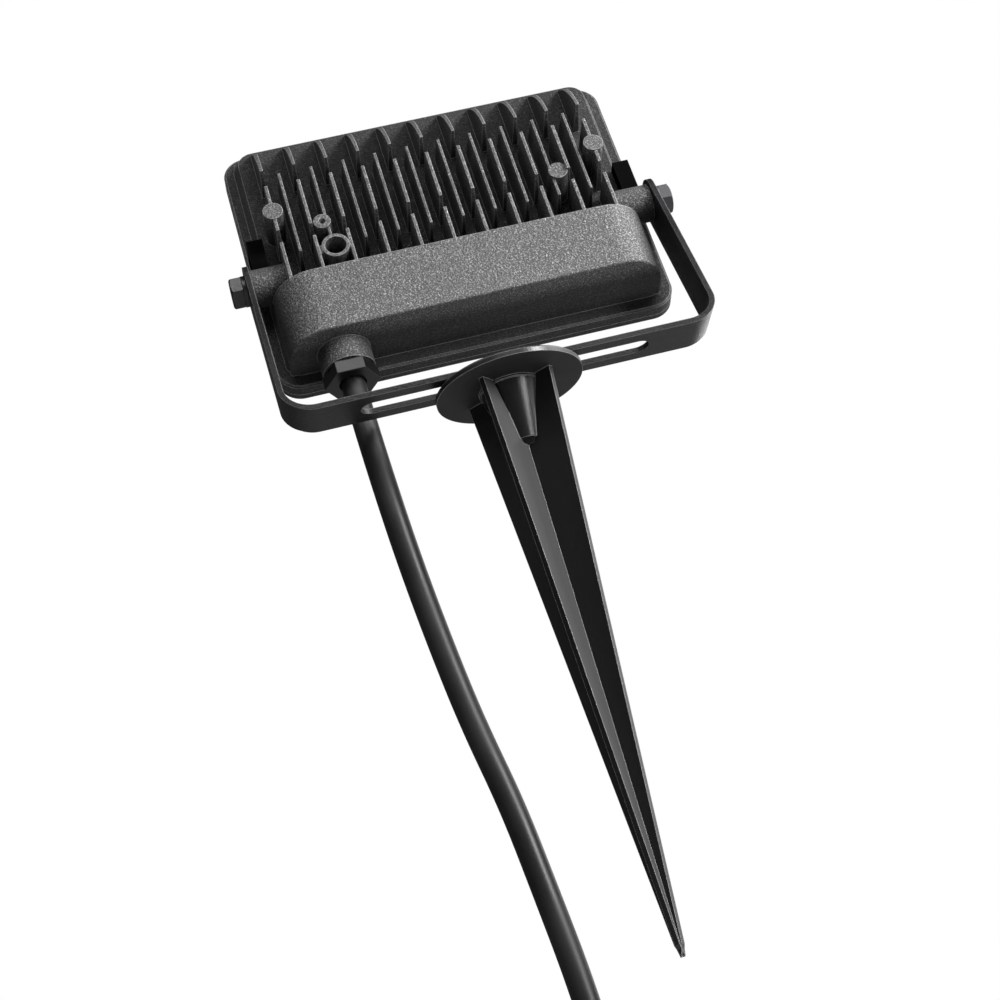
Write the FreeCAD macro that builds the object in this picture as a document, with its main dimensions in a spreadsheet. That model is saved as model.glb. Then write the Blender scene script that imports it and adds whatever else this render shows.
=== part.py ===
import FreeCAD, Part
import math
import os

import Sketcher
from FreeCAD import Placement, Rotation, Vector

# Garden spike spotlight.
# Frame: +Z up, spike pointing straight down, lamp glass facing -Y.
# Origin: centre of the ground disc's underside, at ground level.
# Lamp head pieces are drawn in the head's own frame (x across, y to the rear,
# z up the back of the lamp, origin on the tilt axis) and then placed.

doc = FreeCAD.newDocument("garden_spike_spotlight")
sheet = doc.addObject("Spreadsheet::Sheet", "Sizes")

SIZES = [
    ("flange_width", 115.0, "lamp head overall"),
    ("flange_low", -30.5, "lower edge of the head, from the tilt axis"),
    ("flange_high", 54.4, "upper edge of the head, from the tilt axis"),
    ("flange_corner", 6.8, "corner radius of the head"),
    ("front_face", -13.9, "front face of the head"),
    ("frame_back", -11.4, "joint between front frame and casting"),
    ("flange_back", -7.6, "rear face of the casting's flange"),
    ("lip_step", 0.5, "step round the flange's rim"),
    ("floor_back", -3.2, "rear face that the fins stand on"),
    ("fin_tip", 8.8, "plane of the fin tips"),
    ("box_back", 10.4, "rear face of the driver box"),
    ("box_high", -5.3, "upper edge of the driver box"),
    ("box_low", -26.2, "lower edge of the driver box"),
    ("box_half_width", "=flange_width / 2 - 4", "driver box"),
    ("box_corner", 11.8, "radius of the driver box's rear corners"),
    ("body_foot_half", "=flange_width / 2 - 3.1", "raised body where it meets the flange"),
    ("body_top_half", "=body_foot_half - 1.6", "raised body at the fins' floor"),
    ("body_low", "=box_low - 0.4", "lower foot of the raised body"),
    ("body_high", "=flange_high - 1.9", "upper foot of the raised body"),
    ("wall", 2.4, "casting wall"),
    ("fin_pitch", "=(body_top_half - 5.8) / 5", "spacing of the fin columns"),
    ("fin_shift", 0.55, "the fins stand a little off the middle"),
    ("thin_tip", 7.0, "plane of the thinner fins' tips"),
    ("glass_width", "=flange_width - 11", "front glass"),
    ("glass_height", "=flange_high - flange_low - 11.9", "front glass"),
    ("glass_thick", 3.0, "front glass"),
    ("rim_cover", 2.5, "how far the front frame laps over the glass"),
    ("gland_x", 38.3, "cable gland, across"),
    ("gland_y", -1.5, "cable gland, front to rear"),
    ("gland_radius", 7.5, "cable gland boss"),
    ("gland_end", -33.3, "lower end of the gland boss"),
    ("gland_nut_flats", 13.5, "gland nut across its flats"),
    ("gland_nut_end", -37.4, "lower face of the gland nut"),
    ("disc_radius", 20.0, "ground disc"),
    ("disc_thick", 1.8, "ground disc at its rim"),
    ("seat_radius", 12.0, "raised seat on the disc, under the bracket"),
    ("seat_top", 3.2, "height of the seat under the bracket"),
    ("play", 0.05, "gap between pieces that turn on each other"),
    ("hub_radius", 8.0, "tapered screw boss under the disc, at the top"),
    ("hub_end_radius", 3.95, "the same, at its lower end"),
    ("hub_length", 16.2, "tapered screw boss"),
    ("pocket_radius", 9.1, "cleared space round the boss, at the disc"),
    ("pocket_end_radius", 2.8, "the same, at its floor"),
    ("pocket_depth", 17.4, "cleared space round the boss"),
    ("vane_reach", 13.4, "spike vane, from the axis, at the disc"),
    ("vane_end_reach", 1.1, "the same, above the tip's bevel"),
    ("vane_thick", 1.45, "spike vane"),
    ("spike_length", 153.3, "ground level to the tip"),
    ("spike_turn", -38.3, "turn of the spike's cross about its own axis, degrees"),
    ("screw_radius", 2.5, "M5 screw that holds the bracket on the spike"),
    ("screw_head_radius", 4.7, "its low head"),
    ("screw_head_thick", 2.3, "its low head"),
    ("screw_end", -11.5, "lower end of that screw"),
    ("strip_width", 14.5, "bracket strip"),
    ("strip_thick", 1.5, "bracket strip"),
    ("bracket_half_width", "=flange_width / 2 + 2.2", "outer face of an arm"),
    ("bend_radius", 9.0, "outside radius of the bracket's bends"),
    ("arm_rake", 21.4, "lean of the arms to the front, degrees"),
    ("pivot_height", 56.0, "tilt axis above the ground"),
    ("slot_far", 39.5, "far end of a base slot"),
    ("slot_near", 13.0, "near end of a base slot"),
    ("slot_width", 6.6, "base slot"),
    ("washer_radius", 7.5, "flat washer on the base"),
    ("washer_thick", 0.9, "flat washer on the base"),
    ("spring_thick", 1.0, "spring washer on the base"),
    ("head_tilt", 9.0, "lamp tilted down from upright, degrees"),
    ("bolt_radius", 2.5, "M5 pivot bolt"),
    ("bolt_flats", 8.0, "pivot bolt head across its flats"),
    ("bolt_head_thick", 3.4, "pivot bolt head"),
    ("lock_thick", 1.1, "spring washer under a pivot bolt head"),
    ("cord_radius", 3.4, "rubber supply cord"),
    ("flexing_end", -140.0, "height where the stretch that bends with the lamp ends"),
    ("hang_x", 22.7, "the lead where it hangs straight, across"),
    ("hang_y", -13.6, "the lead where it hangs straight, front to rear"),
    ("turn_pitch", 7.7, "spacing of the coil's turns and layers"),
    ("coil_radius", 49.0, "first half turn of the coil"),
    ("coil_height", -240.0, "height of the coil's axis"),
    ("plug_radius", 18.0, "mains plug"),
    ("plug_length", 30.0, "mains plug's body"),
]
for row, (alias, number, note) in enumerate(SIZES, start=1):
    sheet.set("A%d" % row, alias)
    sheet.set("B%d" % row, str(number))
    sheet.set("C%d" % row, note)
    sheet.setAlias("B%d" % row, alias)
    doc.recompute()


class Dim:
    """A size, kept with the sheet formula that it comes from."""

    def __init__(self, value, text):
        self.value = float(value)
        self.text = text

    def __add__(self, other):
        other = as_dim(other)
        return Dim(self.value + other.value, "(%s + %s)" % (self.text, other.text))

    def __sub__(self, other):
        other = as_dim(other)
        return Dim(self.value - other.value, "(%s - %s)" % (self.text, other.text))

    def __mul__(self, other):
        other = as_dim(other)
        return Dim(self.value * other.value, "(%s * %s)" % (self.text, other.text))

    def __truediv__(self, other):
        other = as_dim(other)
        return Dim(self.value / other.value, "(%s / %s)" % (self.text, other.text))

    def __neg__(self):
        return Dim(-self.value, "(0 - %s)" % self.text)


def as_dim(number):
    """A Dim stays as it is, and a plain number becomes one."""
    if isinstance(number, Dim):
        return number
    return Dim(number, "(0 - %.6f)" % -number if number < 0 else "%.6f" % number)


def cosine(angle):
    return Dim(math.cos(math.radians(angle.value)), "cos(%s)" % angle.text)


def sine(angle):
    return Dim(math.sin(math.radians(angle.value)), "sin(%s)" % angle.text)


class Sizes:
    """The sheet's cells by name."""


S = Sizes()
for alias, number, note in SIZES:
    setattr(S, alias, Dim(sheet.get(alias), "Sizes.%s" % alias))

HEX = 2 / math.sqrt(3)  # a hexagon's corner radius over its half width
subparts = []


# ---------------------------------------------------------------- helpers

def bind(item, prop, number):
    """Ties one property to the sheet."""
    item.setExpression(prop, as_dim(number).text)


def put(item, base):
    for axis, number in zip("xyz", base):
        bind(item, ".Placement.Base." + axis, number)


def box(name, low, high):
    """A block between two corners."""
    item = doc.addObject("Part::Box", name)
    for side, a, b in zip(("Length", "Width", "Height"), low, high):
        bind(item, side, as_dim(b) - as_dim(a))
    put(item, low)
    return item


TURNED = {
    "x": Rotation(Vector(0, 1, 0), 90),
    "y": Rotation(Vector(1, 0, 0), -90),
    "z": Rotation(),
}


def along(axis, start, across):
    """A point from its place along an axis and its two places across it."""
    first, second = across
    if axis == "x":
        return (start, first, second)
    if axis == "y":
        return (first, start, second)
    return (first, second, start)


def rod(name, radius, axis, start, end, across=(0, 0)):
    """A cylinder along x, y or z."""
    item = doc.addObject("Part::Cylinder", name)
    item.Placement = Placement(Vector(), TURNED[axis])
    bind(item, "Radius", radius)
    bind(item, "Height", as_dim(end) - as_dim(start))
    put(item, along(axis, start, across))
    return item


def cone(name, start_radius, end_radius, axis, start, end, across=(0, 0)):
    item = doc.addObject("Part::Cone", name)
    item.Placement = Placement(Vector(), TURNED[axis])
    bind(item, "Radius1", start_radius)
    bind(item, "Radius2", end_radius)
    bind(item, "Height", as_dim(end) - as_dim(start))
    put(item, along(axis, start, across))
    return item


def hexagon(name, flats, axis, start, end, across=(0, 0)):
    """A six-sided bar along x, y or z."""
    item = doc.addObject("Part::Prism", name)
    item.Polygon = 6
    item.Placement = Placement(Vector(), TURNED[axis])
    bind(item, "Circumradius", as_dim(flats) * (HEX / 2))
    bind(item, "Height", as_dim(end) - as_dim(start))
    put(item, along(axis, start, across))
    return item


def fuse(name, items):
    joined = doc.addObject("Part::MultiFuse", name)
    joined.Shapes = items
    joined.Refine = True
    return joined


def cut(name, base, tool):
    left = doc.addObject("Part::Cut", name)
    left.Base = base
    left.Tool = tool
    return left


def common(name, items):
    shared = doc.addObject("Part::MultiCommon", name)
    shared.Shapes = items
    return shared


def rounded(name, base, radius, test):
    """Rounds the edges of a block that pass a test on their middle and direction."""
    doc.recompute()
    item = doc.addObject("Part::Fillet", name)
    item.Base = base
    picked = []
    for number, edge in enumerate(base.Shape.Edges, start=1):
        span = edge.lastVertex().Point - edge.firstVertex().Point
        if span.Length > 0 and test(edge.CenterOfMass, span.normalize()):
            picked.append((number, as_dim(radius).value, as_dim(radius).value))
    item.Edges = picked
    return item


def upright(middle, direction):
    """Edges that run front to rear, which are a plate's corners."""
    return abs(direction.y) > 0.9


def plate(name, half_width, low, high, front, back, corner):
    """A rounded plate of the lamp head, thick along y."""
    blank = box(name + "_blank", (-half_width, front, low), (half_width, back, high))
    return rounded(name, blank, corner, upright)


PLANES = {
    "XY": Rotation(),
    "XZ": Rotation(Vector(1, 0, 0), 90),
    "YZ": Rotation(Vector(1, 1, 1), 120),
}
NORMALS = {"XY": Vector(0, 0, 1), "XZ": Vector(0, 1, 0), "YZ": Vector(1, 0, 0)}


def polygon(sketch, points):
    """Draws a closed outline and ties every corner to the sheet."""
    points = [(as_dim(a), as_dim(b)) for a, b in points]
    count = len(points)
    for i in range(count):
        a = points[i]
        b = points[(i + 1) % count]
        start = Vector(a[0].value, a[1].value, 0)
        end = Vector(b[0].value, b[1].value, 0)
        sketch.addGeometry(Part.LineSegment(start, end))
    for i in range(count):
        sketch.addConstraint(Sketcher.Constraint("Coincident", i, 2, (i + 1) % count, 1))
    for i, corner in enumerate(points):
        for kind, line, number in (("DistanceX", -2, corner[0]), ("DistanceY", -1, corner[1])):
            if abs(number.value) < 1e-9:
                sketch.addConstraint(Sketcher.Constraint("PointOnObject", i, 1, line))
                continue
            index = sketch.addConstraint(Sketcher.Constraint(kind, -1, 1, i, 1, number.value))
            sketch.setExpression("Constraints[%d]" % index, number.text)


def prism(name, plane, points, low, high):
    """An outline in a plane, drawn out square to it."""
    sketch = doc.addObject("Sketcher::SketchObject", name + "_outline")
    sketch.Placement = Placement(Vector(), PLANES[plane])
    axis = {"XY": "z", "XZ": "y", "YZ": "x"}[plane]
    bind(sketch, ".Placement.Base." + axis, low)
    polygon(sketch, points)
    item = doc.addObject("Part::Extrusion", name)
    item.Base = sketch
    item.DirMode = "Custom"
    item.Dir = NORMALS[plane]
    bind(item, "LengthFwd", as_dim(high) - as_dim(low))
    item.Solid = True
    return item


def origin_plane(body, role):
    for feature in body.Origin.OriginFeatures:
        if feature.Role == role:
            return feature
    raise ValueError(role)


def body_sketch(body, name, role, points):
    sketch = body.newObject("Sketcher::SketchObject", name)
    sketch.AttachmentSupport = [(origin_plane(body, role), "")]
    sketch.MapMode = "FlatFace"
    polygon(sketch, points)
    return sketch


def revolved(body, name, points, feature="PartDesign::Revolution"):
    """A half profile in the XZ plane, turned about the body's Z axis."""
    sketch = body_sketch(body, name + "_profile", "XZ_Plane", points)
    item = body.newObject(feature, name)
    item.Profile = sketch
    item.ReferenceAxis = (origin_plane(body, "Z_Axis"), [""])
    item.Angle = 360
    return item


def new_body(name):
    return doc.addObject("PartDesign::Body", name)


def keep(item, label, head=False):
    """Names a sub-part, and notes a head piece, which is placed on the tilt axis later."""
    if head and item.TypeId in ("Part::Box", "Part::Cylinder"):
        single = doc.addObject("Part::Compound", label + "_placed")
        single.Links = [item]
        item = single
    item.Label = label
    subparts.append((item, label, head))
    return item


def holed(name, radius, hole_radius, axis, start, end, across=(0, 0)):
    """A ring with a square section."""
    outer = rod(name + "_outer", radius, axis, start, end, across)
    inner = rod(name + "_hole", hole_radius, axis, start, end, across)
    return cut(name, outer, inner)


# ------------------------------------------------------------ ground spike

def make_ground_spike():
    """Moulded disc, tapered screw boss and a cross of four vanes down to the tip."""
    body = new_body("ground_spike")
    bevel_top = -(S.spike_length - 3.0)
    outline = [
        (-S.vane_reach, 0), (S.vane_reach, 0),
        (S.vane_end_reach, bevel_top), (0, -S.spike_length), (-S.vane_end_reach, bevel_top),
    ]
    for name, role in (("blade_across", "XZ_Plane"), ("blade_along", "YZ_Plane")):
        sketch = body_sketch(body, name + "_outline", role, outline)
        pad = body.newObject("PartDesign::Pad", name)
        pad.Profile = sketch
        pad.Midplane = True
        bind(pad, "Length", S.vane_thick)
    revolved(body, "boss_pocket", [
        (0, 0), (S.pocket_radius, 0), (S.pocket_end_radius, -S.pocket_depth), (0, -S.pocket_depth),
    ], "PartDesign::Groove")
    rim = 0.5
    revolved(body, "disc_and_boss", [
        (0, S.seat_top), (S.seat_radius, S.seat_top),
        (S.seat_radius + rim, S.disc_thick),
        (S.disc_radius - rim, S.disc_thick),
        (S.disc_radius, S.disc_thick - rim),
        (S.disc_radius, 0), (S.hub_radius + 0.5, 0), (S.hub_radius + 0.5, -0.6), (S.hub_radius, -0.6),
        (S.hub_end_radius, -S.hub_length), (0, -S.hub_length),
    ])
    revolved(body, "screw_bore", [
        (0, S.seat_top), (S.screw_radius, S.seat_top),
        (S.screw_radius, S.screw_end - 1), (0, S.screw_end - 1),
    ], "PartDesign::Groove")
    body.Placement = Placement(Vector(), Rotation(Vector(0, 0, 1), S.spike_turn.value))
    return keep(body, "ground_spike")


def make_base_fasteners():
    """Flat washer, split spring washer and low-headed screw that clamp the bracket."""
    base_top = S.seat_top + S.strip_thick + S.play * 2
    washer_top = base_top + S.washer_thick
    spring_top = washer_top + S.spring_thick
    head_top = spring_top + S.screw_head_thick
    keep(holed("base_washer", S.washer_radius, S.screw_radius + 0.2, "z", base_top, washer_top),
         "base_washer")
    ring = holed("spring_ring", S.screw_radius + 2.1, S.screw_radius + 0.1, "z", washer_top, spring_top)
    split = box("spring_split", (2, -0.6, washer_top), (7, 0.6, spring_top))
    keep(cut("base_spring_washer", ring, split), "base_spring_washer")

    body = new_body("screw_turned")
    chamfer = 0.5
    revolved(body, "screw_solid", [
        (0, S.screw_end), (S.screw_radius - chamfer, S.screw_end),
        (S.screw_radius, S.screw_end + chamfer), (S.screw_radius, spring_top),
        (S.screw_head_radius, spring_top), (S.screw_head_radius, head_top - 1.0),
        (S.screw_head_radius - 0.5, head_top - 0.4), (S.screw_head_radius - 1.7, head_top),
        (0, head_top),
    ])
    recess = []
    for name, long_x, long_y in (("across", 2.6, 0.5), ("along", 0.5, 2.6)):
        recess.append(box("recess_" + name, (-long_x, -long_y, head_top - 1.4),
                          (long_x, long_y, head_top + 1)))
    keep(cut("base_screw", body, fuse("screw_recess", recess)), "base_screw")


# ---------------------------------------------------------------- bracket

def pivot_rearward():
    """The tilt axis stands in front of the spike by the arms' lean."""
    rise = S.pivot_height - S.seat_top - S.play - S.strip_thick / 2
    return -(rise * sine(S.arm_rake) / cosine(S.arm_rake))


def rake_offset(length):
    """A length square to the arm, as steps rearward and up."""
    return (cosine(S.arm_rake) * length, sine(S.arm_rake) * length)


def make_bracket():
    """One bent strip: slotted base, rounded bends and two arms that lean forward."""
    front = -45
    rear = 25
    top = 80
    inner_half = S.bracket_half_width - S.strip_thick
    base_low = S.seat_top + S.play
    base_top = base_low + S.strip_thick
    outside = box("u_outside_blank", (-S.bracket_half_width, front, base_low),
                  (S.bracket_half_width, rear, top))
    inside = box("u_inside_blank", (-inner_half, front, base_top), (inner_half, rear, top + 10))

    def low_corner(middle, direction):
        return abs(direction.y) > 0.9 and middle.z < S.pivot_height.value / 2

    u_solid = rounded("u_outside", outside, S.bend_radius, low_corner)
    u_hollow = rounded("u_inside", inside, S.bend_radius - S.strip_thick, low_corner)
    u_strip = cut("u_strip", u_solid, u_hollow)

    half = S.strip_width / 2
    pivot_y = pivot_rearward()
    end_radius = half * cosine(S.arm_rake)
    step_y, step_z = rake_offset(end_radius)
    reach = S.bracket_half_width + 1
    side = prism("arm_side", "YZ", [
        (-half, base_low), (half, base_low), (half, base_top),
        (pivot_y + step_y, S.pivot_height + step_z),
        (pivot_y - step_y, S.pivot_height - step_z),
        (-half, base_top),
    ], -reach, reach)
    ends = rod("arm_ends", end_radius, "x", -reach, reach, (pivot_y, S.pivot_height))
    outline = fuse("arm_outline", [side, ends])
    strip = common("raked_strip", [u_strip, outline])

    holes = [
        rod("screw_hole", S.screw_radius + 0.08, "z", 0, 10),
        rod("pivot_holes", S.bolt_radius + 0.08, "x", -reach, reach, (pivot_y, S.pivot_height)),
    ]
    slot_half = S.slot_width / 2
    for side_name, sign in (("left", 1), ("right", -1)):
        near = (S.slot_near + slot_half) * sign
        far = (S.slot_far - slot_half) * sign
        low, high = (near, far) if sign > 0 else (far, near)
        holes.append(box("slot_" + side_name, (low, -slot_half, 0), (high, slot_half, 10)))
        for end_name, centre in (("near", near), ("far", far)):
            holes.append(rod("slot_%s_%s" % (side_name, end_name), slot_half, "z", 0, 10, (centre, 0)))
    return keep(cut("bracket", strip, fuse("bracket_holes", holes)), "bracket")


# ------------------------------------------------------------- pivot bolts

def make_pivot_bolts():
    """Two hexagon bolts through the arms into the casting, each on a spring washer."""
    washer_in = S.bracket_half_width + S.play
    washer_out = washer_in + S.lock_thick
    head_out = washer_out + S.bolt_head_thick
    shank_in = S.bracket_half_width - 10.7
    for name, sign in (("left", 1), ("right", -1)):
        low, high = (washer_out, head_out) if sign > 0 else (-head_out, -washer_out)
        blank = hexagon("bolt_hex_" + name, S.bolt_flats, "x", low, high)
        big = S.bolt_flats * 0.47 + S.bolt_head_thick * 1.7
        small = S.bolt_flats * 0.47
        first, last = (big, small) if sign > 0 else (small, big)
        shoulder = cone("bolt_shoulder_" + name, first, last, "x", low, high)
        crown = common("bolt_crown_" + name, [blank, shoulder])
        low, high = (shank_in, washer_out) if sign > 0 else (-washer_out, -shank_in)
        shank = rod("bolt_shank_" + name, S.bolt_radius, "x", low, high)
        keep(fuse("pivot_bolt_" + name, [crown, shank]), "pivot_bolt_" + name, True)
        low, high = (washer_in, washer_out) if sign > 0 else (-washer_out, -washer_in)
        ring = holed("lock_ring_" + name, S.bolt_radius + 1.9, S.bolt_radius + 0.1, "x", low, high)
        split = box("lock_split_" + name, (low, -0.5, 1), (high, 0.5, 6))
        keep(cut("pivot_washer_" + name, ring, split), "pivot_washer_" + name, True)


# ----------------------------------------------------------------- housing

FIN_COLUMNS = 5  # columns each side of the middle one


def fin_comb(name, columns, root_half, tip_half):
    """Full-height drafted fins, one for each column, before they are cut to length."""
    root = S.floor_back - 0.6
    tall = []
    for number, column in enumerate(columns):
        middle = S.fin_pitch * column + S.fin_shift
        tall.append(prism("%s_%d" % (name, number), "XY", [
            (middle - root_half, root), (middle + root_half, root),
            (middle + tip_half, S.fin_tip), (middle - tip_half, S.fin_tip),
        ], S.box_high - 1, S.body_high))
    return fuse(name, tall)


def side_slab(name, wire):
    """A shape seen from the side, drawn out over all the columns."""
    reach = S.box_half_width.value
    item = doc.addObject("Part::Feature", name)
    slab = Part.Face(wire).extrude(Vector(2 * reach, 0, 0))
    slab.translate(Vector(-reach, 0, 0))
    item.Shape = slab
    return item


def profile(points):
    """A closed outline in the side plane, straight or with one arc through a middle point."""
    edges = []
    places = [Vector(0, y, z) for y, z in points]
    for start, end in zip(places, places[1:] + places[:1]):
        edges.append(Part.LineSegment(start, end).toShape())
    return Part.Wire(edges)


def make_main_fins():
    """The eleven thick columns: a bowed short fin, a straight one and a stub at the driver box."""
    root = S.floor_back.value - 0.6
    tip = S.fin_tip.value
    top = S.body_high.value - 1.2
    short_end = 34.0
    bow_middle = Vector(0, root + 0.65 * (tip - root), short_end + 0.55 * (top - short_end))
    bow = Part.Arc(Vector(0, root, top), bow_middle, Vector(0, tip, short_end + 0.4))
    start = Vector(0, root, top)
    shoulder = Vector(0, tip, short_end + 0.4)
    foot = Vector(0, root, short_end)
    tip_corner = Vector(0, tip, short_end)
    bowed = Part.Wire([
        bow.toShape(), Part.LineSegment(shoulder, tip_corner).toShape(),
        Part.LineSegment(tip_corner, foot).toShape(), Part.LineSegment(foot, start).toShape(),
    ])
    straight = profile([(root, 28.2), (root, 10.4), (tip, 11.8), (tip, 28.2)])
    low = S.box_high.value - 1
    stub = profile([(root, 7.4), (root, low), (tip, low), (tip, 7.4)])
    slabs = [side_slab("short_slab", bowed), side_slab("straight_slab", straight),
             side_slab("stub_slab", stub)]
    columns = range(-FIN_COLUMNS, FIN_COLUMNS + 1)
    comb = fin_comb("main_comb", columns, 0.9, 0.45)
    return common("main_fins", [comb, fuse("main_slabs", slabs)])


def make_thin_fins():
    """The ten thinner and lower columns between them."""
    root = S.floor_back.value - 0.6
    tip = S.thin_tip.value
    long_fin = profile([(root, 34.6), (root, 4.4), (tip, 4.4), (tip, 33.4)])
    columns = [number + 0.5 for number in range(-FIN_COLUMNS, FIN_COLUMNS)]
    comb = fin_comb("thin_comb", columns, 0.8, 0.3)
    return common("thin_fins", [comb, side_slab("long_slab", long_fin)])


VENT = (3.5, 2.2)  # column and height of the vent's ring


def make_fin_bosses():
    """Flat posts in the outer columns, two small bosses and the vent's ring."""
    root = S.floor_back - 0.6
    bosses = []
    for name, sign in (("left", 1), ("right", -1)):
        bosses.append(rod("post_" + name, 2.85, "y", root, S.fin_tip + 0.4,
                          (S.fin_pitch * (FIN_COLUMNS * sign) + S.fin_shift, 18.6)))
    small = S.fin_tip - 0.9
    dimpled = (S.fin_pitch * 3.65 + S.fin_shift, 12.4)
    bosses.append(cone("small_boss_left", 3.0, 2.45, "y", root, small, dimpled))
    bosses.append(cone("small_boss_right", 3.2, 2.75, "y", root, small,
                       (-S.fin_pitch * 3.65 + S.fin_shift - 0.4, 12.4)))
    dimples = [cone("dimple", 0.3, 1.0, "y", small - 1.5, small, dimpled)]
    vent = (S.fin_pitch * VENT[0] + S.fin_shift / 2, VENT[1])
    bosses.append(cone("vent_ring", 4.3, 3.9, "y", root, S.fin_tip + 0.3, vent))
    bosses.append(box("vent_web", (vent[0] - S.fin_pitch / 2, root, VENT[1] - 1.3),
                      (vent[0] + S.fin_pitch / 2, S.fin_tip - 0.3, VENT[1] + 1.3)))
    return bosses, dimples, vent


def make_driver_box():
    """The box across the lower half, with big round corners at its rear."""
    blank = box("box_blank", (-S.box_half_width, S.flange_back, S.box_low),
                (S.box_half_width, S.box_back, S.box_high))

    def rear_end(middle, direction):
        return abs(direction.z) > 0.9 and middle.y > 0

    shaped = rounded("box_rounded", blank, S.box_corner, rear_end)

    def rear_low(middle, direction):
        return middle.z < S.box_low.value + 0.1 and middle.y > S.flange_back.value + 1

    return rounded("driver_box", shaped, 0.6, rear_low)


def driver_chamber():
    """The hollow of the driver box, with rear corners that keep the wall even."""
    half = S.box_half_width - S.wall
    blank = box("chamber_blank", (-half, S.frame_back, S.box_low + S.wall),
                (half, S.box_back - S.wall, S.box_high - S.wall))

    def rear_end(middle, direction):
        return abs(direction.z) > 0.9 and middle.y > 0

    return rounded("driver_chamber", blank, S.box_corner - S.wall, rear_end)


def raised_body():
    """The drafted plinth that carries the fins."""
    item = doc.addObject("Part::Wedge", "body_wedge")
    draft = S.body_foot_half - S.body_top_half
    bind(item, "Xmin", -S.body_foot_half)
    bind(item, "Xmax", S.body_foot_half)
    bind(item, "Zmin", S.body_low)
    bind(item, "Zmax", S.body_high)
    bind(item, "Ymin", S.flange_back)
    bind(item, "Ymax", S.floor_back)
    bind(item, "X2min", -S.body_top_half)
    bind(item, "X2max", S.body_top_half)
    bind(item, "Z2min", S.body_low + draft / 2)
    bind(item, "Z2max", S.body_high - draft / 2)

    def corner(middle, direction):
        return abs(direction.y) > 0.7

    return rounded("raised_body", item, 4.5, corner)


def make_housing(body):
    """The die casting: flange, plinth, fins, driver box, bosses and its hollows."""
    half = S.flange_width / 2
    flange = plate("flange", half, S.flange_low, S.flange_high,
                   S.frame_back, S.flange_back - S.lip_step, S.flange_corner)
    lip = plate("flange_lip", half - S.lip_step, S.flange_low + S.lip_step,
                S.flange_high - S.lip_step, S.frame_back, S.flange_back, S.flange_corner - S.lip_step)
    bosses, dimples, vent = make_fin_bosses()
    boss_in = S.bracket_half_width - 12.9
    boss_out = S.bracket_half_width - 1.7
    thread_in = S.bracket_half_width - 11.1
    pivots = [
        rod("pivot_boss_left", 5.4, "x", boss_in, boss_out),
        rod("pivot_boss_right", 5.4, "x", -boss_out, -boss_in),
    ]
    gland = rod("gland_boss", S.gland_radius, "z", S.gland_end, S.box_low + 1, (S.gland_x, S.gland_y))
    solids = [flange, lip, body, make_driver_box(), make_main_fins(), make_thin_fins(), gland]
    solid = fuse("casting", solids + pivots + bosses)

    inner_half = S.glass_width / 2 + 0.3
    middle = (S.flange_low + S.flange_high) / 2
    pocket_low = middle - S.glass_height / 2 - 0.3
    pocket_high = middle + S.glass_height / 2 + 0.3
    seat = S.front_face + 1 + S.glass_thick + 1
    ledge = 2.6
    hollows = [
        box("glass_pocket", (-inner_half, S.frame_back, pocket_low), (inner_half, seat, pocket_high)),
        box("lamp_chamber", (-(inner_half - ledge), S.frame_back, pocket_low + ledge),
            (inner_half - ledge, S.floor_back - S.wall, pocket_high - ledge)),
        driver_chamber(),
        rod("pivot_thread_left", S.bolt_radius + 0.05, "x", thread_in, boss_out + 1),
        rod("pivot_thread_right", S.bolt_radius + 0.05, "x", -boss_out - 1, -thread_in),
        rod("gland_bore", 5.65, "z", S.gland_end - 1, S.box_low - 0.4, (S.gland_x, S.gland_y)),
        rod("gland_throat", S.cord_radius + 0.3, "z", S.box_low - 2, S.box_low + S.wall + 1,
            (S.gland_x, S.gland_y)),
        rod("vent_bore", 3.0, "y", S.floor_back, S.fin_tip + 2, vent),
        rod("vent_hole", 0.8, "y", S.floor_back - S.wall - 1, S.floor_back + 1, vent),
    ]
    for number, (x, z) in enumerate(board_screw_places()):
        hollows.append(rod("screw_hole_%d" % number, 1.5, "y", S.floor_back - S.wall - 1,
                           S.floor_back - 0.5, (x, z)))
    for name, sign in (("left", 1), ("right", -1)):
        low, high = clip_leg(sign, 0.05)
        hollows.append(box("clip_slot_" + name, low, high))
    return keep(cut("housing", solid, fuse("hollows", hollows + dimples)), "housing", True)


def ordered(a, b):
    """Two places across the head, lower first."""
    a = as_dim(a)
    b = as_dim(b)
    return (a, b) if a.value < b.value else (b, a)


CLIP_LOW = 6.2
CLIP_HIGH = 16.6


def clip_leg(sign, room):
    """Corners of a side clip's leg through the flange, with some room round it."""
    low_x, high_x = ordered((S.flange_width / 2 - 2.6) * sign, (S.flange_width / 2 - 1.4) * sign)
    low = (low_x - room, S.frame_back - room, CLIP_LOW + 1.3 - room)
    high = (high_x + room, S.flange_back + room, CLIP_HIGH - 1.3 + room)
    return low, high


def make_side_clips(body):
    """Smooth black blocks above the pivots, each with a leg that grips the front frame."""
    for name, sign in (("left", 1), ("right", -1)):
        low_x, high_x = ordered((S.flange_width / 2 - 5.5) * sign, (S.flange_width / 2 - 0.8) * sign)
        block = box("clip_block_" + name, (low_x, S.flange_back, CLIP_LOW), (high_x, 0.7, CLIP_HIGH))
        trimmed = cut("clip_trimmed_" + name, block, body)
        low, high = clip_leg(sign, 0.0)
        leg = box("clip_leg_" + name, low, high)
        keep(fuse("side_clip_" + name, [trimmed, leg]), "side_clip_" + name, True)


# ------------------------------------------------------ glass and light source

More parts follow.
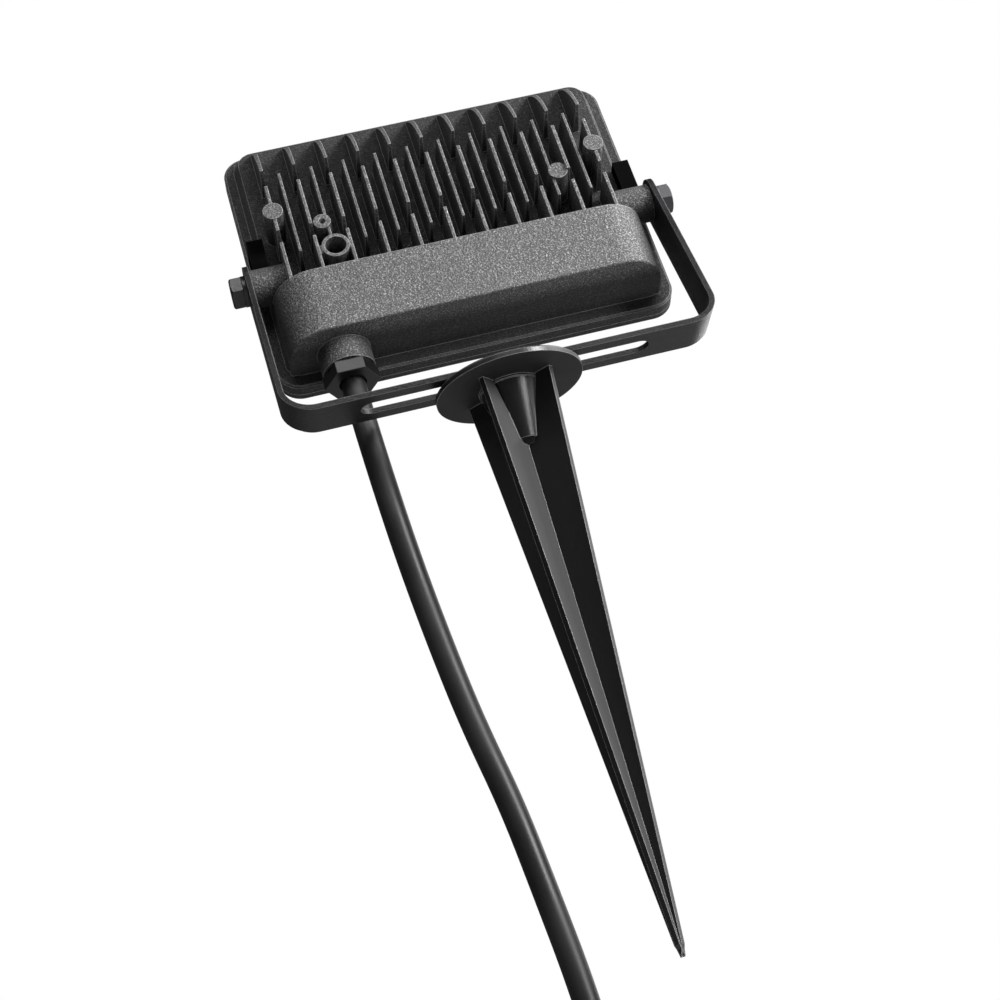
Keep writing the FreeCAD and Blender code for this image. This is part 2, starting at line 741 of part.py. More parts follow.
def make_front():
    """Front frame, glass and the gasket behind it."""
    half = S.flange_width / 2
    middle = (S.flange_low + S.flange_high) / 2
    glass_half = S.glass_width / 2
    low = middle - S.glass_height / 2
    high = middle + S.glass_height / 2
    lap = S.rim_cover
    glass_front = S.front_face + 1
    glass_back = glass_front + S.glass_thick
    blank = plate("frame_blank", half, S.flange_low, S.flange_high,
                  S.front_face, S.frame_back, S.flange_corner)
    window = plate("frame_window", glass_half - lap, low + lap, high - lap,
                   S.front_face - 1, S.frame_back + 1, 3)
    rebate = box("frame_rebate", (-(glass_half + 0.3), glass_front, low - 0.3),
                 (glass_half + 0.3, S.frame_back + 1, high + 0.3))

    def front_rim(middle_point, direction):
        outer = abs(middle_point.x) > half.value - 9 or not low.value - 2 < middle_point.z < high.value + 2
        return middle_point.y < S.front_face.value + 0.01 and outer

    eased = rounded("frame_eased", blank, 0.8, front_rim)
    keep(cut("front_frame", eased, fuse("frame_opening", [window, rebate])), "front_frame", True)
    keep(plate("front_glass", glass_half, low, high, glass_front, glass_back, 2), "front_glass", True)
    outer = plate("gasket_outer", glass_half, low, high, glass_back, glass_back + 1, 2)
    inner = plate("gasket_inner", glass_half - 2.4, low + 2.4, high - 2.4,
                  glass_back - 1, glass_back + 2, 1)
    keep(cut("glass_gasket", outer, inner), "glass_gasket", True)


BOARD_HALF = 30.0
BOARD_HIGH = S.flange_high - 9.0
BOARD_LOW = BOARD_HIGH - 44.0
BOARD_THICK = 1.6


def board_screw_places():
    inset = 3.4
    xs = (-BOARD_HALF + inset, BOARD_HALF - inset)
    zs = (BOARD_LOW + inset, BOARD_HIGH - inset)
    return [(x, z) for x in xs for z in zs]


def make_light_source():
    """LED board screwed to the casting, its chips, and the white reflector in front."""
    seat = S.floor_back - S.wall
    face = seat - BOARD_THICK
    board = box("led_board_blank", (-BOARD_HALF, face, BOARD_LOW), (BOARD_HALF, seat, BOARD_HIGH))
    holes = []
    screws = []
    for number, (x, z) in enumerate(board_screw_places()):
        holes.append(rod("board_hole_%d" % number, 1.6, "y", face - 1, seat + 1, (x, z)))
        shank = rod("screw_shank_%d" % number, 1.4, "y", face - 0.1, seat + 1.6, (x, z))
        dome = cone("screw_dome_%d" % number, 2.1, 2.7, "y", face - 1.1, face, (x, z))
        screws.append(fuse("screw_%d" % number, [shank, dome]))
    keep(cut("led_board", board, fuse("board_holes", holes)), "led_board", True)
    all_screws = doc.addObject("Part::Compound", "board_screws")
    all_screws.Links = screws
    keep(all_screws, "board_screws", True)
    chips = []
    for column in range(5):
        for level in range(4):
            x = -20.0 + 10.0 * column
            z = BOARD_LOW + 8.5 + 9.0 * level
            chips.append(box("chip_%d_%d" % (column, level), (x - 1.5, face - 0.8, z - 1.75),
                             (x + 1.5, face, z + 1.75)))
    all_chips = doc.addObject("Part::Compound", "led_chips")
    all_chips.Links = chips
    keep(all_chips, "led_chips", True)

    low = S.flange_low + 9
    high = S.flange_high - 9
    side = S.glass_width / 2 - 3.5
    front = face - 1.4
    back = face - 0.7
    sheet_blank = box("reflector_sheet", (-side, front, low), (side, back, high))
    skirt = 0.8
    window_half = BOARD_HALF - 0.2
    window = box("reflector_window", (-window_half, front - 1, BOARD_LOW + 0.2),
                 (window_half, back + 1, BOARD_HIGH - 0.2))
    feet = [
        box("reflector_foot_left", (side - skirt, front, low), (side, seat, high)),
        box("reflector_foot_right", (-side, front, low), (-side + skirt, seat, high)),
    ]
    keep(cut("reflector", fuse("reflector_tray", [sheet_blank] + feet), window), "reflector", True)


def make_driver():
    """Driver circuit on the rear wall of its chamber, and the supply terminals."""
    back = S.box_back - S.wall
    low = S.box_low + S.wall + 0.3
    high = S.box_high - S.wall - 0.3
    board_front = back - BOARD_THICK
    reach = S.box_half_width - S.box_corner
    keep(box("driver_board", (-reach + 5, board_front, low), (reach - 24, back, high)), "driver_board", True)
    coil_left = -reach + 22.7
    coil_right = coil_left + 22
    core = box("transformer_core", (coil_left + 3, board_front - 9, low + 1.2),
               (coil_right - 3, board_front, high - 1.2))
    winding = box("transformer_winding", (coil_left, board_front - 8, low + 3),
                  (coil_right, board_front - 1.5, high - 3))
    keep(fuse("driver_transformer", [core, winding]), "driver_transformer", True)
    can_middle = (board_front - 4.2, (low + high) / 2)
    keep(rod("driver_capacitor", 4.1, "x", -reach + 5.5, -reach + 20.5, can_middle), "driver_capacitor", True)
    block = box("terminal_blank", (reach - 22.4, back - 8, low + 1), (reach - 0.4, back, high - 1))
    entries = []
    for number in range(3):
        x = reach - 18.4 + 7.0 * number
        entries.append(rod("terminal_entry_%d" % number, 1.6, "z", low, high, (x, back - 3.5)))
        entries.append(rod("terminal_screw_%d" % number, 1.9, "y", back - 9, back - 4,
                           (x, (low + high) / 2)))
    keep(cut("terminal_block", block, fuse("terminal_entries", entries)), "terminal_block", True)
    screw = rod("earth_shank", 1.6, "y", back - 4, back, (-reach + 2, low + 4))
    dome = cone("earth_dome", 2.4, 2.9, "y", back - 5.6, back - 4, (-reach + 2, low + 4))
    keep(fuse("earth_screw", [screw, dome]), "earth_screw", True)


def make_vent():
    """Breathable membrane plug at the bottom of the vent's ring."""
    vent = (S.fin_pitch * VENT[0] + S.fin_shift / 2, VENT[1])
    plug = rod("vent_plug_body", 2.95, "y", S.floor_back, S.floor_back + 2, vent)
    dish = cone("vent_plug_dish", 0.9, 1.9, "y", S.floor_back + 1.2, S.floor_back + 2, vent)
    keep(cut("breather_plug", plug, dish), "breather_plug", True)


def make_gland():
    """Rubber seal squeezed round the cord by a hexagon nut."""
    across = (S.gland_x, S.gland_y)
    bore = S.cord_radius + 0.05
    shank_top = S.gland_end + 4.2
    keep(holed("gland_seal", 5.55, bore, "z", shank_top, S.box_low - 0.5, across), "gland_seal", True)
    nut_face = S.gland_end - 0.3
    blank = hexagon("gland_hex", S.gland_nut_flats, "z", S.gland_nut_end, nut_face, across)
    shank = rod("gland_shank", 5.55, "z", nut_face - 0.5, shank_top, across)
    hole = rod("gland_hole", S.cord_radius + 0.4, "z", S.gland_nut_end - 1, shank_top + 1, across)
    keep(cut("gland_nut", fuse("gland_nut_solid", [blank, shank]), hole), "gland_nut", True)


# -------------------------------------------------------------------- cord

def head_placement():
    base = Vector(0, pivot_rearward().value, S.pivot_height.value)
    return Placement(base, Rotation(Vector(1, 0, 0), S.head_tilt.value))


def cord_route():
    """Centre line of the hanging lead, from inside the gland down to the coil."""
    placed = head_placement()
    gx = S.gland_x.value
    gy = S.gland_y.value
    inside = placed.multVec(Vector(gx, gy, S.box_low.value + 1.2))
    below = placed.multVec(Vector(gx, gy, S.gland_nut_end.value - 9.0))
    points = [inside, below]
    for x, y, z in (
        (37.6, -13.2, -14.0), (36.4, -13.6, -36.0), (34.4, -14.0, -59.0),
        (31.8, -14.2, -82.0), (27.8, -13.9, -105.0), (25.6, -13.6, -128.0),
        (23.4, -13.6, -152.0),
    ):
        points.append(Vector(x, y, z))
    for z in (-178.0, -208.0, S.coil_height.value):
        points.append(Vector(S.hang_x.value, S.hang_y.value, z))
    return points


def rounded_path(points, label):
    """Straight runs joined by tangent arcs, as large as their runs allow."""
    edges = []
    length = 0.0
    here = points[0]
    for before, corner, after in zip(points, points[1:], points[2:]):
        way_in = (corner - before).normalize()
        way_out = (after - corner).normalize()
        turn = way_in.getAngle(way_out)
        shorter = min((corner - before).Length, (after - corner).Length)
        reach = 0.45 * shorter
        if turn < 0.004:
            continue
        radius = reach / math.tan(turn / 2)
        start = corner - way_in * reach
        end = corner + way_out * reach
        inward = (way_out - way_in).normalize()
        middle = corner + inward * (radius / math.cos(turn / 2) - radius)
        edges.append(Part.LineSegment(here, start).toShape())
        edges.append(Part.Arc(start, middle, end).toShape())
        length += (start - here).Length + radius * turn
        print("%s bend radius %.0f mm" % (label, radius))
        here = end
    edges.append(Part.LineSegment(here, points[-1]).toShape())
    length += (points[-1] - here).Length
    return Part.Wire(edges), length


def tube(path, length, label):
    """A round tube along a path, checked against its section times its length."""
    start = path.Edges[0]
    way = (start.Vertexes[-1].Point - start.Vertexes[0].Point).normalize()
    radius = S.cord_radius.value
    ring = Part.Wire(Part.makeCircle(radius, start.Vertexes[0].Point, way))
    solid = path.makePipeShell([ring], True, False)
    expected = math.pi * radius ** 2 * length
    print("%s length %.0f mm, volume ratio %.4f" % (label, length, solid.Volume / expected))
    if abs(solid.Volume / expected - 1) > 0.01:
        raise ValueError(label)
    return solid


def make_hanging_cord():
    """The lead from the gland down, in a flexing stretch and a hanging one."""
    points = cord_route()
    upper = [point for point in points if point.z > S.flexing_end.value]
    lower = [point for point in points if point.z <= S.flexing_end.value]
    mid = (upper[-1] + lower[0]) * 0.5
    stretches = (
        ("supply_cord_upper", upper + [mid]),
        ("supply_cord", [mid] + lower),
    )
    total = 0.0
    for label, stretch in stretches:
        path, length = rounded_path(stretch, label)
        item = doc.addObject("Part::Feature", label)
        item.Shape = tube(path, length, label)
        keep(item, label)
        total += length
    return total


HALF_TURNS_IN = 5
HALF_TURNS_OUT = 6


def coil_half_turns():
    """Each half turn's start, middle and end: in by steady steps, up a layer, and out again."""
    pitch = S.turn_pitch.value
    x = S.hang_x.value
    y = S.hang_y.value
    z = S.coil_height.value
    radius = S.coil_radius.value
    side = -1
    turns = []
    total = HALF_TURNS_IN + 1 + HALF_TURNS_OUT
    for number in range(total):
        climb = pitch if number == HALF_TURNS_IN else 0.0
        start = Vector(x, y, z)
        end = Vector(x + side * 2 * radius, y + climb, z)
        lower = number % 2 == 0
        reach = math.hypot(radius, climb / 2)
        middle = (start + end) * 0.5 + Vector(0, 0, -reach if lower else reach)
        turns.append((start, middle, end))
        x = end.x
        y = end.y
        side = -side
        radius += pitch / 2 if number >= HALF_TURNS_IN else -pitch / 2
    return turns


def make_coil():
    """The unused length, wound in two layers, with a straight end for the plug."""
    turns = coil_half_turns()
    edges = [Part.Arc(*turn).toShape() for turn in turns]
    end = turns[-1][2]
    tail = end - Vector(0, 0, 26)
    edges.append(Part.LineSegment(end, tail).toShape())
    path = Part.Wire(edges)
    radius = S.cord_radius.value
    ring = Part.Wire(Part.makeCircle(radius, turns[0][0], Vector(0, 0, -1)))
    solid = path.makePipeShell([ring], True, False)
    expected = math.pi * radius ** 2 * path.Length
    print("coil length %.0f mm, volume ratio %.4f" % (path.Length, solid.Volume / expected))
    if abs(solid.Volume / expected - 1) > 0.01:
        raise ValueError("coil")
    print("least gap in the coil %.2f mm" % (least_distance(path) - 2 * radius))
    item = doc.addObject("Part::Feature", "cord_coil")
    item.Shape = solid
    keep(item, "cord_coil")
    return tail, path.Length


def least_distance(path):
    """Smallest distance between places on the path that are over half a turn apart."""
    step = 3.0
    places = path.discretize(Distance=step)
    apart = int(80 / step)
    return min((places[i] - places[j]).Length
               for i in range(len(places)) for j in range(i + apart, len(places)))


def make_tie():
    """A strap round the turns at the top of the coil."""
    turns = coil_half_turns()
    pitch = S.turn_pitch.value
    uppers = [turn[1] for turn in turns[1::2]]
    low = min(place.z for place in uppers) - S.cord_radius.value
    high = max(place.z for place in uppers) + S.cord_radius.value
    front = S.hang_y.value - S.cord_radius.value
    rear = S.hang_y.value + pitch + S.cord_radius.value
    x = uppers[-1].x
    room = 0.5
    thick = 1.2
    half = 4.0
    inner = box("tie_hole", (x - half - 1, front - room, low - room), (x + half + 1, rear + room, high + room))
    outer = box("tie_outer", (x - half, front - room - thick, low - room - thick),
                (x + half, rear + room + thick, high + room + thick))
    keep(cut("coil_tie", outer, inner), "coil_tie")


def make_plug(tail):
    """Straight round plug with a ribbed grip, two pins and side earth contacts."""
    x, y, z = tail.x, tail.y, tail.z
    grip_end = z - 22
    body_end = as_dim(grip_end) - S.plug_length
    grip = cone("plug_grip", S.cord_radius + 1.6, S.plug_radius * 0.62, "z", z - 0, z - 0, (x, y))
    grip.Placement = Placement(Vector(x, y, z), Rotation(Vector(1, 0, 0), 180))
    bind(grip, "Height", 22)
    for axis, number in zip("xyz", (x, y, z)):
        bind(grip, ".Placement.Base." + axis, number)
    shell = rod("plug_shell", S.plug_radius, "z", body_end, grip_end, (x, y))

    doc.recompute()
    shell_round = doc.addObject("Part::Fillet", "plug_shell_round")
    shell_round.Base = shell
    shell_round.Edges = [(number, 3.0, 3.0) for number, edge in enumerate(shell.Shape.Edges, start=1)
                         if edge.Closed and edge.CenterOfMass.z > grip_end - 1]
    notches = []
    for number, sign in enumerate((1, -1)):
        low_y, high_y = ordered(as_dim(y + sign * 16.0), as_dim(y + sign * 20.0))
        notches.append(box("plug_notch_%d" % number, (x - 2.6, low_y, body_end - 1),
                           (x + 2.6, high_y, grip_end - 12)))
    keep(cut("plug_body", fuse("plug_solid", [shell_round, grip]), fuse("plug_notches", notches)),
         "plug_body")
    pins = []
    for number, sign in enumerate((1, -1)):
        pin = rod("plug_pin_%d" % number, 2.4, "z", body_end - 19, body_end, (x + sign * 9.5, y))
        pins.append(pin)
    for number, sign in enumerate((1, -1)):
        low_y, high_y = ordered(as_dim(y + sign * 16.0), as_dim(y + sign * 17.0))
        pins.append(box("earth_strip_%d" % number, (x - 2.0, low_y, body_end),
                        (x + 2.0, high_y, grip_end - 13)))
    group = doc.addObject("Part::Compound", "plug_contacts")
    group.Links = pins
    keep(group, "plug_contacts")


# ------------------------------------------------------------------- build

make_ground_spike()
make_base_fasteners()
make_bracket()
make_pivot_bolts()
plinth = raised_body()
make_housing(plinth)
make_side_clips(plinth)
make_front()
make_light_source()
make_driver()
make_vent()
make_gland()
hanging = make_hanging_cord()
tail_end, wound = make_coil()
make_tie()
make_plug(tail_end)
print("cord length %.0f mm" % (hanging + wound))

doc.recompute()
for item, label, head in subparts:
    if head:
        item.Placement = head_placement()
doc.recompute()

os.makedirs("parts", exist_ok=True)
faulty = [item.Name for item in doc.Objects if "Invalid" in item.State or "Error" in item.State]
if faulty:
    raise RuntimeError("failed: " + ", ".join(faulty))
for item, label, head in subparts:
    shape = item.Shape
    if shape.isNull() or not shape.isValid():
        raise RuntimeError("bad shape: " + label)
    shape.exportStep("parts/%s.step" % label)
    print("%-22s solids %2d volume %9.1f" % (label, len(shape.Solids), shape.Volume))
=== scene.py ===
"""Dresses the garden spike spotlight: finishes, the loose supply lead and a plain studio."""

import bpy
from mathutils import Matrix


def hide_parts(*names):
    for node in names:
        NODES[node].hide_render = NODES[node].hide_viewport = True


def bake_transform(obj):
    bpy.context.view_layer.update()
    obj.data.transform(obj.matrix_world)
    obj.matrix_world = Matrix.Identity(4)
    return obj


bl_info = {
    "name": "Garden Spike Spotlight",
    "version": (1, 0, 0),
    "blender": (4, 5, 0),
    "location": "3D View > Sidebar > Spotlight",
    "description": "Finishes the spotlight's parts, lays its supply lead and sets the studio",
    "category": "Object",
}

import math

import bpy
from bpy.props import FloatProperty, FloatVectorProperty, IntProperty, PointerProperty
from bpy.types import Operator, Panel, PropertyGroup
from mathutils import Vector

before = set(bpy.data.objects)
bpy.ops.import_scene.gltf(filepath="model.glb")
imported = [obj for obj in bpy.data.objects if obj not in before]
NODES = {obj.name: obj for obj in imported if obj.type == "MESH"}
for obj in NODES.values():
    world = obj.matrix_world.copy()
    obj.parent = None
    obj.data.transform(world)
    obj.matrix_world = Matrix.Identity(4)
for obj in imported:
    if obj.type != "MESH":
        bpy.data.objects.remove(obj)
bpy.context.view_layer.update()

# The tilt axis and the lean of the head at rest, as the solids have them.
PIVOT_Y = -0.020379
PIVOT_Z = 0.056
HEAD_LEAN = math.radians(9.0)


# ------------------------------------------------------------------ settings

def colour(name, description, default):
    return FloatVectorProperty(name=name, description=description, subtype="COLOR",
                               size=3, min=0, max=1, default=default)


def length(name, description, default):
    return FloatProperty(name=name, description=description, unit="LENGTH", min=0, default=default)


class SpotlightFinishes(PropertyGroup):
    """Colours and grain of the lamp's surfaces."""

    coat_colour: colour("Powder coat", "Textured black coat on the casting", (0.022, 0.022, 0.0225))
    steel_colour: colour("Bracket coat", "Coat on the bent steel bracket", (0.006, 0.006, 0.0065))
    spike_colour: colour("Spike plastic", "Moulded plastic of the ground spike",
                         (0.006, 0.006, 0.006))
    nylon_colour: colour("Gland nylon", "Nylon of the gland nut", (0.006, 0.006, 0.006))
    rubber_colour: colour("Cord rubber", "Rubber sheath of the supply lead", (0.012, 0.012, 0.0125))
    bolt_colour: colour("Bolt blacking", "Blackened bolts, screw and washers", (0.06, 0.06, 0.062))
    grain_size: length("Coat grain", "Size of one grain of the powder coat", 0.0007)
    grain_depth: length("Grain depth", "Height of the powder coat's grain", 0.0004)
    edge_radius: length("Edge softness", "Radius at which edges catch the light", 0.0004)


class SpotlightLead(PropertyGroup):
    """The rubber supply lead."""

    diameter: length("Diameter", "Outside of the rubber sheath", 0.0068)
    real_length: length("Length", "From the gland to the plug", 1.856)
    coil_height: FloatProperty(name="Coil height", description="Height of the coil's axis",
                               unit="LENGTH", default=-0.24)
    coil_radius: length("Coil radius", "First half turn of the coil", 0.049)
    turn_pitch: length("Turn pitch", "Spacing of turns and layers", 0.0077)
    points_per_half: IntProperty(name="Points per half turn", description="Control points",
                                 default=8, min=6, max=16)
    tail: length("Tail", "Straight end that enters the plug", 0.026)


class SpotlightStage(PropertyGroup):
    """Camera, floor and lights."""

    camera_place: FloatVectorProperty(name="Camera", description="Where the camera stands",
                                      subtype="TRANSLATION", unit="LENGTH",
                                      default=(0.08071, 0.46813, -0.20962))
    camera_turn: FloatVectorProperty(name="Camera turn", description="Camera rotation",
                                     subtype="EULER", unit="ROTATION",
                                     default=(math.radians(111.5786), math.radians(15.3721),
                                              math.radians(177.5167)))
    lens: FloatProperty(name="Lens", description="Focal length for a 36 mm frame",
                        unit="CAMERA", default=70.75, min=10)
    floor_height: FloatProperty(name="Floor", description="Height of the floor",
                                unit="LENGTH", default=-0.345)
    floor_glow: FloatProperty(name="Floor glow", default=0.55, min=0, max=1,
                              description="Brightness that the camera sees on the floor")
    key_power: FloatProperty(name="Key light", description="Power of the large soft light",
                             unit="POWER", default=7.0, min=0)
    side_power: FloatProperty(name="Side light", description="Power of the low light on the right",
                              unit="POWER", default=16.0, min=0)
    end_power: FloatProperty(name="End light", description="Power of the high light on the right",
                             unit="POWER", default=8.0, min=0)
    corner_power: FloatProperty(name="Corner light", unit="POWER", default=1.6, min=0,
                                description="Power of the high light on the left")
    front_power: FloatProperty(name="Front light", description="Power of the light on the glass",
                               unit="POWER", default=3.5, min=0)
    sky: FloatProperty(name="Surround", description="Brightness of the surrounding light",
                       default=0.07, min=0, max=1)
    mirrored_sky: FloatProperty(name="Mirrored surround", default=0.04, min=0, max=1,
                                description="Brightness of the surround in glossy reflections")


def finishes():
    return bpy.context.scene.spotlight_finishes


# ---------------------------------------------------------- shader node tools

class Tree:
    """A node tree with short ways to add and join nodes."""

    def __init__(self, tree):
        self.tree = tree
        self.column = 0

    def add(self, kind, inputs=None, **settings):
        item = self.tree.nodes.new("ShaderNode" + kind)
        self.column += 1
        item.location = (self.column * 190, (self.column % 4) * -170)
        for name, value in settings.items():
            setattr(item, name, value)
        for name, value in (inputs or {}).items():
            self.feed(item.inputs[name], value)
        return item

    def feed(self, socket, value):
        if isinstance(value, bpy.types.NodeSocket):
            self.tree.links.new(value, socket)
        else:
            socket.default_value = value

    def maths(self, operation, first, second=0.0, clamp=False):
        item = self.add("Math", {0: first, 1: second}, operation=operation, use_clamp=clamp)
        return item.outputs[0]

    def spread(self, value, low, high, start=0.0, end=1.0):
        """Maps low..high of a value to start..end, with soft ends."""
        item = self.add("MapRange", {"Value": value, "From Min": low, "From Max": high,
                                     "To Min": start, "To Max": end},
                        interpolation_type="SMOOTHSTEP")
        return item.outputs["Result"]

    def blend(self, factor, first, second):
        item = self.add("Mix", data_type="RGBA")
        self.feed(item.inputs["Factor"], factor)
        self.feed(item.inputs["A"], first)
        self.feed(item.inputs["B"], second)
        return item.outputs["Result"]


def new_group(name, inputs, outputs):
    """An empty node group with named sockets."""
    tree = bpy.data.node_groups.new(name, "ShaderNodeTree")
    for label, kind, value in inputs:
        socket = tree.interface.new_socket(name=label, in_out="INPUT",
                                           socket_type="NodeSocket" + kind)
        socket.default_value = value
    for label, kind in outputs:
        tree.interface.new_socket(name=label, in_out="OUTPUT", socket_type="NodeSocket" + kind)
    start = tree.nodes.new("NodeGroupInput")
    end = tree.nodes.new("NodeGroupOutput")
    end.location = (2600, 0)
    return Tree(tree), start.outputs, end.inputs


GRIT_FINENESS = 1.7
GRIT_RANGE = (0.5, 0.66)
CLOUD_RANGE = (0.35, 0.65)


def coat_grain():
    """Fine lumps of a textured coat, with scattered bright grains and slow cloudiness."""
    name = "Coat grain"
    if name in bpy.data.node_groups:
        return bpy.data.node_groups[name]
    made, given, result = new_group(
        name,
        [("Grain", "Float", 0.0006), ("Cloud", "Float", 0.03),
         ("Stretch", "Vector", (1.0, 1.0, 1.0))],
        [("Height", "Float"), ("Speckle", "Float"), ("Clouds", "Float")],
    )
    place = made.add("VectorMath", {0: made.add("TexCoord").outputs["Object"], 1: given["Stretch"]},
                     operation="MULTIPLY").outputs["Vector"]
    fine = made.maths("DIVIDE", 1.0, given["Grain"])
    lumps = made.add("TexNoise", {"Vector": place, "Scale": fine, "Detail": 3.0, "Roughness": 0.6})
    finer = made.maths("MULTIPLY", fine, GRIT_FINENESS)
    grit = made.add("TexNoise", {"Vector": place, "Scale": finer, "Detail": 1.0})
    made.feed(result["Height"], lumps.outputs["Fac"])
    made.feed(result["Speckle"], made.spread(grit.outputs["Fac"], *GRIT_RANGE))
    slow = made.maths("DIVIDE", 1.0, given["Cloud"])
    clouds = made.add("TexNoise", {"Vector": place, "Scale": slow, "Detail": 3.0})
    made.feed(result["Clouds"], made.spread(clouds.outputs["Fac"], *CLOUD_RANGE))
    return made.tree


def edge_light():
    """Softened edges: a normal that rounds them and a mask along them, which the finishes use for a
    painted highlight.
    """
    name = "Edge softening"
    if name in bpy.data.node_groups:
        return bpy.data.node_groups[name]
    made, given, result = new_group(
        name,
        [("Radius", "Float", 0.0004), ("Gain", "Float", 4.0)],
        [("Edge", "Float"), ("Normal", "Vector")],
    )
    rounded = made.add("Bevel", {"Radius": given["Radius"]}, samples=6)
    flat = made.add("NewGeometry").outputs["Normal"]
    match = made.add("VectorMath", {0: rounded.outputs[0], 1: flat}, operation="DOT_PRODUCT")
    away = made.maths("SUBTRACT", 1.0, match.outputs["Value"])
    made.feed(result["Edge"], made.maths("MULTIPLY", away, given["Gain"], clamp=True))
    made.feed(result["Normal"], rounded.outputs[0])
    return made.tree


def new_material(name):
    material = bpy.data.materials.new(name)
    material.use_nodes = True
    made = Tree(material.node_tree)
    shader = material.node_tree.nodes["Principled BSDF"]
    shader.location = (2600, 0)
    return material, made, shader


def grey(value):
    """An opaque grey."""
    return (value, value, value, 1.0)


def shaded(colour_value, factor):
    return tuple(min(1.0, part * factor) for part in colour_value[:3]) + (1.0,)


SPECKLE_SHARE = 0.8
ROUGHNESS_SWING = 0.05
GLINT_REST = -0.04


def textured(name, base, grain, depth, roughness, edge_highlight_strength=0.0, speckle=1.5, specular=0.5,
             clouds=0.25, softness=None, edge_highlight=0.06, glint=0.0, painted_light_and_shade=(), stretch=None):
    """A finish with grain, bright grains, softened edges with a painted highlight, and slow colour
    change.

    speckle and clouds are factors on the colour, edge_highlight is added to it along the edges as a
    painted highlight with edge_highlight_strength as its share, and glint is the roughness added
    between the bright grains. Each patch of painted light and shade is a mask, a factor on the
    colour and a step in roughness.
    """
    material, made, shader = new_material(name)
    grains = made.add("Group", node_tree=coat_grain())
    grains.inputs["Grain"].default_value = grain
    if stretch:
        grains.inputs["Stretch"].default_value = stretch
    edges = made.add("Group", node_tree=edge_light())
    edges.inputs["Radius"].default_value = finishes().edge_radius if softness is None else softness

    tone = made.blend(grains.outputs["Clouds"], shaded(base, 1 - clouds), shaded(base, 1 + clouds))
    bright = made.maths("MULTIPLY", grains.outputs["Speckle"], SPECKLE_SHARE)
    tone = made.blend(bright, tone, shaded(base, speckle))
    rough = made.spread(grains.outputs["Clouds"], 0.0, 1.0,
                        roughness - ROUGHNESS_SWING, roughness + ROUGHNESS_SWING)
    if glint:
        between = made.spread(grains.outputs["Speckle"], 0.0, 1.0, glint, GLINT_REST)
        rough = made.maths("ADD", rough, between)
    # Painted light and shade: each patch lightens or darkens the colour under its mask.
    for mask, factor, step in painted_light_and_shade:
        part = mask(made)
        tone = made.blend(part, tone, shaded(base, factor))
        rough = made.maths("ADD", rough, made.maths("MULTIPLY", part, step), clamp=True)
    # Painted highlight: the colour is lightened along the edges.
    tone = made.blend(made.maths("MULTIPLY", edges.outputs["Edge"], edge_highlight_strength, clamp=True), tone,
                      shaded([part + edge_highlight for part in base], 1.0))
    made.feed(shader.inputs["Base Color"], tone)
    made.feed(shader.inputs["Roughness"], rough)
    shader.inputs["Specular IOR Level"].default_value = specular
    bump = made.add("Bump", {"Height": grains.outputs["Height"], "Normal": edges.outputs["Normal"]})
    bump.inputs["Distance"].default_value = depth
    made.feed(shader.inputs["Normal"], bump.outputs[0])
    return material


FIN_GAP_FLOOR = 0.001
FIN_GAP_TOP = 0.0085
FACING_RANGE = (0.9, 0.97)


def between_fins(made):
    """Mask of the painted shade between the fins: falls from 1 on the casting's floor to 0 near the
    fin tips.
    """
    place = made.add("TexCoord").outputs["Object"]
    rear = (0.0, math.cos(HEAD_LEAN), math.sin(HEAD_LEAN))
    rearward = made.add("VectorMath", {0: place, 1: rear}, operation="DOT_PRODUCT")
    middle = PIVOT_Y * rear[1] + PIVOT_Z * rear[2]
    return made.spread(rearward.outputs["Value"], middle + FIN_GAP_FLOOR, middle + FIN_GAP_TOP,
                       1.0, 0.0)


def faces_towards(direction):
    """A mask that is 1 on the faces square to a direction of the object."""
    def mask(made):
        normal = made.add("TexCoord").outputs["Normal"]
        match = made.add("VectorMath", {0: normal, 1: direction}, operation="DOT_PRODUCT")
        return made.spread(match.outputs["Value"], *FACING_RANGE)
    return mask


# Patches that stand in for light and shade of the photograph. The real surfaces aren't known to
# differ there, and a plain finish leaves them out.
# Painted shade: the casting darker in the gaps between the fins.
PAINTED_SHADE_GAPS = (between_fins, 0.25, 0.4)
# Painted shade: the spike's faces turned down darker.
PAINTED_SHADE_UNDERSIDE = (faces_towards((0.0, 0.0, -1.0)), 0.3, 0.4)
# Painted light: the vane faces turned towards the side light lighter.
PAINTED_LIGHT_VANE = (faces_towards((-0.785, 0.62, 0.0)), 9.0, 0.15)


STREAK_DEPTH = 0.00002
METAL_EDGE_RADIUS = 0.0003
METAL_SWING = 0.08


def brushed(name, base, roughness, streak, stretch=(1.0, 1.0, 12.0)):
    """Plated or blackened metal with fine machining streaks and a painted highlight along the
    edges.
    """
    material, made, shader = new_material(name)
    place = made.add("TexCoord").outputs["Object"]
    drawn = made.add("Mapping", {"Vector": place})
    drawn.inputs["Scale"].default_value = stretch
    lines = made.add("TexNoise", {"Vector": drawn.outputs[0], "Scale": streak, "Detail": 3.0})
    edges = made.add("Group", node_tree=edge_light())
    edges.inputs["Radius"].default_value = METAL_EDGE_RADIUS
    tone = made.blend(lines.outputs["Fac"], shaded(base, 0.75), shaded(base, 1.25))
    # Painted highlight: the colour is lighter along the edges.
    tone = made.blend(made.maths("MULTIPLY", edges.outputs["Edge"], 0.6), tone, shaded(base, 1.8))
    made.feed(shader.inputs["Base Color"], tone)
    shader.inputs["Metallic"].default_value = 1.0
    made.feed(shader.inputs["Roughness"],
              made.spread(lines.outputs["Fac"], 0.2, 0.8,
                          roughness - METAL_SWING, roughness + METAL_SWING))
    bump = made.add("Bump", {"Height": lines.outputs["Fac"], "Normal": edges.outputs["Normal"]})
    bump.inputs["Distance"].default_value = STREAK_DEPTH
    made.feed(shader.inputs["Normal"], bump.outputs[0])
    return material


